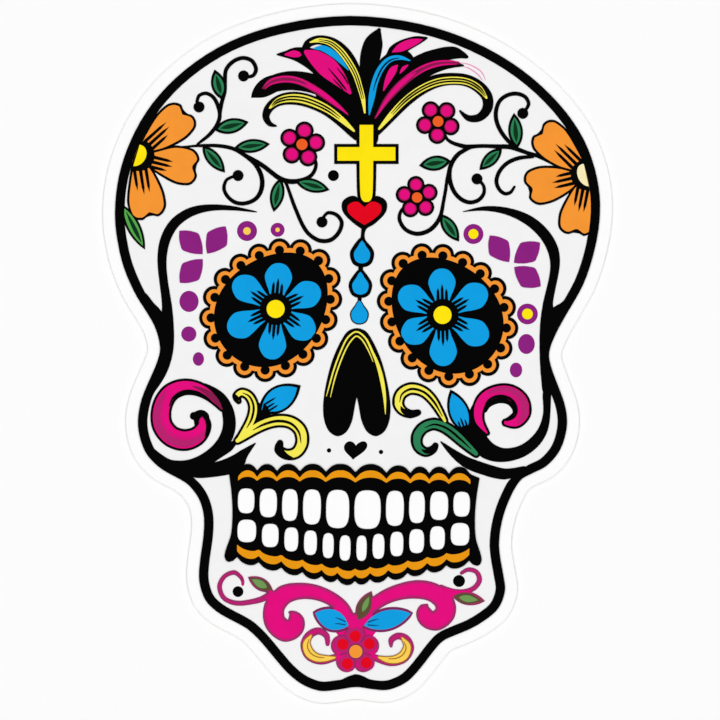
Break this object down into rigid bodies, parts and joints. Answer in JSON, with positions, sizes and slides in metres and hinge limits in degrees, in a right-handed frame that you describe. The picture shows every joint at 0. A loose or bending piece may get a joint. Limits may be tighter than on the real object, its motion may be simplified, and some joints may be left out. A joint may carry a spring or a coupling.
{
  "type": "sugar skull wall decal",
  "caption": "Flat die-cut sugar skull decal: layered colour films over a white carrier and adhesive, on a split peel-off liner, to stick on a wall, door or window.",
  "frame": {"origin": "middle of the silhouette's bounding box, on the back of the liner", "axes": "+Z out of the printed face, +Y towards the crown, +X towards the viewer's right"},
  "size_m": [0.2544, 0.3494, 0.0021],
  "materials": {
    "white_film": "satin cast vinyl film with a fine grain",
    "face_film": "satin cast vinyl film with a fine grain",
    "black_film": "deep black satin vinyl film",
    "orange_film": "satin cast vinyl film with a fine grain",
    "yellow_film": "satin cast vinyl film with a fine grain",
    "red_film": "satin cast vinyl film with a fine grain",
    "magenta_film": "satin cast vinyl film with a fine grain",
    "purple_film": "satin cast vinyl film with a fine grain",
    "blue_film": "satin cast vinyl film with a fine grain",
    "green_film": "satin cast vinyl film with a fine grain",
    "spring_green_film": "satin cast vinyl film with a fine grain",
    "liner_paper": "matt silicone-coated kraft paper",
    "adhesive": "clear pressure-sensitive acrylic layer, slightly milky"
  },
  "bodies": {
    "liner": {"liner_left": "liner_paper", "liner_right": "liner_paper"},
    "decal": {"carrier_film": "white_film", "teeth_film": "white_film", "face_film": "face_film", "key_line": "black_film", "crest_key": "black_film", "nose": "black_film", "mouth_key": "black_film", "left_eye_socket": "black_film", "right_eye_socket": "black_film", "upper_gum": "orange_film", "lower_gum": "orange_film", "left_eye_rim": "orange_film", "right_eye_rim": "orange_film", "left_marigold": "orange_film", "right_marigold": "orange_film", "forehead_cross": "yellow_film", "left_eye_centre": "yellow_film", "right_eye_centre": "yellow_film", "crest_left_feather": "yellow_film", "crest_right_feather": "yellow_film", "left_cheek_curl": "yellow_film", "right_cheek_curl": "yellow_film", "forehead_heart": "red_film", "chin_scroll": "magenta_film", "left_blossom": "magenta_film", "right_blossom_upper": "magenta_film", "right_blossom_lower": "magenta_film", "crest_left_plume": "magenta_film", "left_cheek_spiral": "magenta_film", "right_cheek_spiral": "magenta_film", "left_temple_outer_petal": "purple_film", "left_temple_inner_petal": "purple_film", "left_temple_lower_petal": "purple_film", "right_temple_outer_petal": "purple_film", "right_temple_inner_petal": "purple_film", "right_temple_lower_petal": "purple_film", "left_eye_flower": "blue_film", "right_eye_flower": "blue_film", "upper_drop": "blue_film", "middle_drop": "blue_film", "lower_drop": "blue_film", "left_cheek_leaf": "blue_film", "right_cheek_leaf": "blue_film", "chin_left_leaf": "blue_film", "chin_right_leaf": "blue_film", "left_leaf_crown": "green_film", "left_leaf_upper": "green_film", "left_leaf_inner": "green_film", "left_leaf_stem": "green_film", "left_leaf_hanging": "green_film", "left_leaf_brow": "green_film", "right_leaf_crown": "green_film", "right_leaf_stem": "green_film", "right_leaf_inner": "green_film", "right_leaf_brow": "green_film", "right_cheek_frond": "green_film", "temple_leaf": "spring_green_film", "adhesive_layer": "adhesive"}
  },
  "joints": [
    {"name": "decal_peel", "type": "slide", "parent": "liner", "child": "decal", "axis": [0, 0, 1], "range_m": [0, 0.1]}
  ]
}
